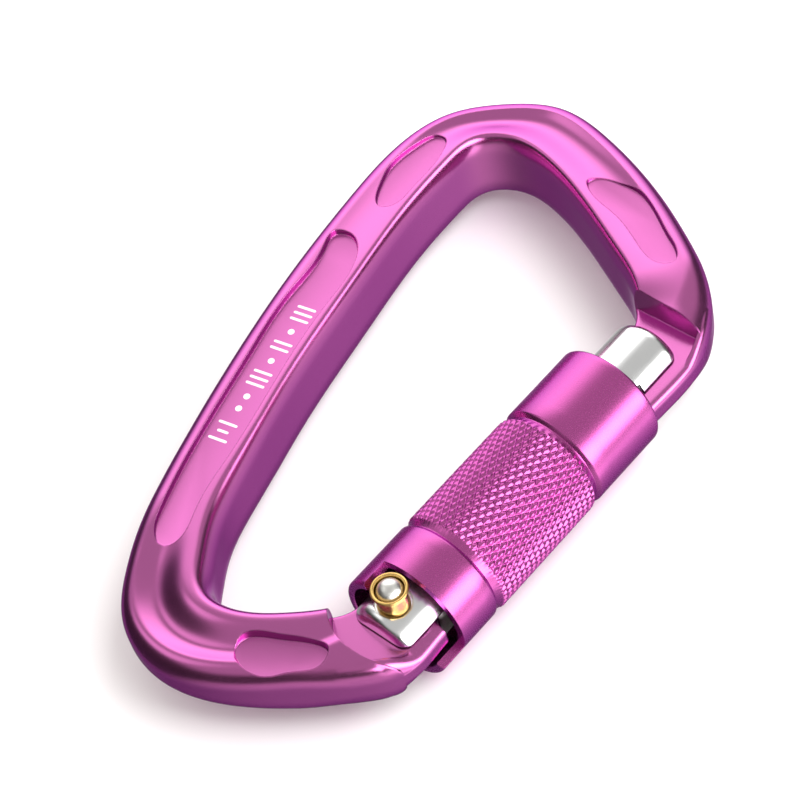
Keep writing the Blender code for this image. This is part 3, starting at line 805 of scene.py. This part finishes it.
def anodised(name, face, roughness, grain, edge_round):
    """Dyed aluminium: magenta seen square on, violet at a glancing angle, with a clear oxide skin."""
    made, tree, shader = new_material(name)
    weight = tree.nodes.new("ShaderNodeLayerWeight")
    cloud = ramp(tree, noise(tree, 90.0, 3.0), 0.0, 1.0, 0.0, 0.35, "LINEAR")
    tint = mix_colour(tree, cloud, face, darker(face, 0.9))
    turning = ramp(tree, weight.outputs["Facing"], 0.15, 0.85)
    tree.links.new(mix_colour(tree, turning, tint, VIOLET), shader.inputs["Base Color"])
    shader.inputs["Metallic"].default_value = 0.96
    fine = noise(tree, 7000.0, 2.0)
    tree.links.new(spread(tree, fine, roughness, 0.25), shader.inputs["Roughness"])
    shader.inputs["Specular Tint"].default_value = SHEEN
    shader.inputs["Coat Weight"].default_value = COAT
    shader.inputs["Coat Roughness"].default_value = max(0.06, roughness * 0.6)
    normal = bump(tree, fine, grain, edge_round)
    tree.links.new(normal, shader.inputs["Normal"])
    tree.links.new(normal, shader.inputs["Coat Normal"])
    return made


def bare_metal(name, colour, roughness, grain, stretch=None):
    made, tree, shader = new_material(name)
    tint = mix_colour(tree, noise(tree, 160.0), colour, darker(colour, 0.9))
    tree.links.new(tint, shader.inputs["Base Color"])
    shader.inputs["Metallic"].default_value = 1.0
    fine = noise(tree, 2500.0, 3.0, stretch)
    tree.links.new(spread(tree, fine, roughness, 0.3), shader.inputs["Roughness"])
    tree.links.new(bump(tree, fine, grain, 0.0002), shader.inputs["Normal"])
    return made


def plastic(name, colour, roughness):
    made, tree, shader = new_material(name)
    cloud = noise(tree, 300.0)
    tree.links.new(mix_colour(tree, cloud, colour, darker(colour, 0.7)), shader.inputs["Base Color"])
    tree.links.new(spread(tree, cloud, roughness, 0.15), shader.inputs["Roughness"])
    tree.links.new(bump(tree, noise(tree, 3000.0), 0.15), shader.inputs["Normal"])
    return made


def clouded(name, colour, other, roughness, scale, detail):
    """A matt paint that wanders between two close colours."""
    made, tree, shader = new_material(name)
    tree.links.new(mix_colour(tree, noise(tree, scale, detail), colour, other), shader.inputs["Base Color"])
    shader.inputs["Roughness"].default_value = roughness
    return made


def wear(made, material):
    made.data.materials.clear()
    made.data.materials.append(material)


# ---------------------------------------------------------------- the picture

def build_key_light():
    light = bpy.data.lights.new("key", "AREA")
    light.size = 0.50
    light.energy = 4.5
    made = bpy.data.objects.new("key", light)
    made.location = (0.30, 0.22, 0.50)
    made.rotation_euler = (-Vector(made.location)).to_track_quat("-Z", "Y").to_euler()
    made.visible_glossy = False
    bpy.context.scene.collection.objects.link(made)


def build_world():
    """Soft boxes for the metal to reflect, and a plain pale tent for everything else."""
    world = bpy.data.worlds.new("studio")
    bpy.context.scene.world = world
    world.use_nodes = True
    tree = world.node_tree
    tree.nodes.clear()
    out = tree.nodes.new("ShaderNodeOutputWorld")
    direction = tree.nodes.new("ShaderNodeTexCoord").outputs["Generated"]
    split = tree.nodes.new("ShaderNodeSeparateXYZ")
    tree.links.new(direction, split.inputs["Vector"])
    x, z = split.outputs["X"], split.outputs["Z"]

    def maths(kind, first, second):
        node = tree.nodes.new("ShaderNodeMath")
        node.operation = kind
        for socket, value in zip(node.inputs, (first, second)):
            if isinstance(value, float):
                socket.default_value = value
            else:
                tree.links.new(value, socket)
        return node.outputs["Value"]

    def vector(kind, first, second=(1.0, 1.0, 1.0)):
        node = tree.nodes.new("ShaderNodeVectorMath")
        node.operation = kind
        tree.links.new(first, node.inputs[0])
        node.inputs[1].default_value = second
        return node.outputs

    def soft_box(centre, inner, outer, squash=(1.0, 1.0, 1.0)):
        """1 within inner degrees of the centre, 0 beyond outer; a squash below 1 makes it long that way."""
        scaled = vector("MULTIPLY", direction, squash)["Vector"]
        unit = vector("NORMALIZE", scaled)["Vector"]
        near = vector("DOT_PRODUCT", unit, Vector(centre).normalized())["Value"]
        return ramp(tree, near, math.cos(math.radians(outer)), math.cos(math.radians(inner)))

    def background(colour):
        node = tree.nodes.new("ShaderNodeBackground")
        node.inputs["Color"].default_value = colour
        return node

    def choose(kind_of_ray, usual, special):
        node = tree.nodes.new("ShaderNodeMixShader")
        tree.links.new(path.outputs[kind_of_ray], node.inputs["Fac"])
        tree.links.new(usual, node.inputs[1])
        tree.links.new(special, node.inputs[2])
        return node.outputs["Shader"]

    overhead = ramp(tree, z, 0.22, 0.62, 0.07, 0.68)
    table = maths("MULTIPLY", ramp(tree, z, -0.12, -0.45), ramp(tree, x, -0.4, 0.7, 0.30, 0.97))
    table = maths("MULTIPLY", table, ramp(tree, z, -0.9, -0.6, 0.65, 1.0))
    total = maths("ADD", overhead, table)
    for centre, inner, outer, strength in (
            ((-0.66, 0.66, 0.36), 13.0, 46.0, 2.3),      # large box behind, on the left
            ((-0.55, -0.42, 0.72), 5.0, 21.0, 1.0),      # small box in front, on the left
            ((-0.45, 0.55, -0.70), 8.0, 25.0, 0.5)):     # bright patch of table behind the bow
        total = maths("ADD", total, maths("MULTIPLY", soft_box(centre, inner, outer), strength))
    shade = soft_box((-0.62, -0.76, 0.02), 29.0, 47.0)    # dark card low in front
    total = maths("MULTIPLY", total, maths("SUBTRACT", 1.0, maths("MULTIPLY", shade, 0.85)))
    long_box = (1.0, 0.35, 1.0)
    for centre, inner, outer, strength in (
            ((0.96, 0.0, 0.27), 7.0, 24.0, 7.5),         # long box on the right
            ((0.93, 0.0, -0.36), 3.0, 20.0, 1.8)):       # its reflection in the table
        total = maths("ADD", total, maths("MULTIPLY", soft_box(centre, inner, outer, long_box), strength))

    path = tree.nodes.new("ShaderNodeLightPath")
    boxes = background((0.8, 0.8, 0.8, 1.0))
    tree.links.new(total, boxes.inputs["Strength"])
    tent = background((1.0, 0.95, 0.92, 1.0))
    lit = choose("Is Glossy Ray", tent.outputs["Background"], boxes.outputs["Background"])
    white = background((1.0, 1.0, 1.0, 1.0))
    seen = choose("Is Camera Ray", lit, white.outputs["Background"])
    tree.links.new(seen, out.inputs["Surface"])


def build_floor():
    corners = [(x * FLOOR_HALF, y * FLOOR_HALF, FLOOR_Z) for x, y in ((-1, -1), (1, -1), (1, 1), (-1, 1))]
    floor = add_object("floor", corners, [(0, 1, 2, 3)])
    wear(floor, clouded("floor_white", (0.93, 0.93, 0.93, 1.0), (0.90, 0.90, 0.905, 1.0), 0.6, 6.0, 2.0))
    floor.visible_glossy = False


def build_camera():
    camera = bpy.data.cameras.new("camera")
    camera.lens = CAMERA_LENS
    camera.sensor_width = 36.0
    camera.clip_start = 0.01
    made = bpy.data.objects.new("camera", camera)
    turn = Matrix(CAMERA_AXES).transposed()
    made.matrix_world = Matrix.Translation(to_world(CAMERA_PLACE)) @ turn.to_4x4()
    bpy.context.scene.collection.objects.link(made)
    bpy.context.scene.camera = made


# ---------------------------------------------------------------- the pieces on their bodies

def place(made, material, body, slot, node=None):
    """Gives a new piece its material and its body, and hides the CAD node it stands for."""
    wear(made, material)
    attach(made, body)
    if node:
        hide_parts(node)


magenta = anodised("anodised_gloss", MAGENTA, 0.20, 0.10, 0.0003)
matte = anodised("anodised_matte", MAGENTA, 0.34, 0.25, 0.0001)
satin = anodised("anodised_satin", SLEEVE_MAGENTA, 0.27, 0.35, 0.0001)
silver = bare_metal("gate_silver", (0.95, 0.95, 0.94, 1.0), 0.22, 0.12, (1.0, 0.12, 1.0))
steel = bare_metal("rivet_steel", (0.93, 0.92, 0.87, 1.0), 0.36, 0.15)
brass = bare_metal("bush_brass", (0.86, 0.56, 0.19, 1.0), 0.20, 0.08)
wire = bare_metal("spring_wire", (0.40, 0.40, 0.41, 1.0), 0.30, 0.10)
black = plastic("ring_polymer", (0.04, 0.04, 0.045, 1.0), 0.5)
white = clouded("etched_white", (0.95, 0.88, 0.93, 1.0), (0.82, 0.66, 0.78, 1.0), 0.55, 1500.0, 3.0)

bow = build_bow()
place(bow, magenta, "frame", "anodised", "frame_body")
bow.data.materials.append(matte)
for facet in bow.data.polygons:
    if on_pocket_floor(facet):
        facet.material_index = 1

place(build_sleeve(), satin, "sleeve", "anodised", "lock_sleeve")
place(build_gate(), silver, "gate", "gate_metal", "gate_body")
place(build_rivet(), steel, "gate", "steel", "hinge_rivet")
place(build_bush(), brass, "gate", "brass", "guide_bush")
place(build_marks(), white, "frame", "anodised")

for node, material in (("gate_plunger", steel), ("gate_spring", wire), ("torsion_spring", wire),
                       ("lower_bearing_ring", black), ("upper_bearing_ring", black),
                       ("retaining_ring", steel)):
    wear(frame["nodes"][node], material)

build_world()
build_floor()
build_key_light()
build_camera()
bpy.context.scene.view_settings.view_transform = "Standard"
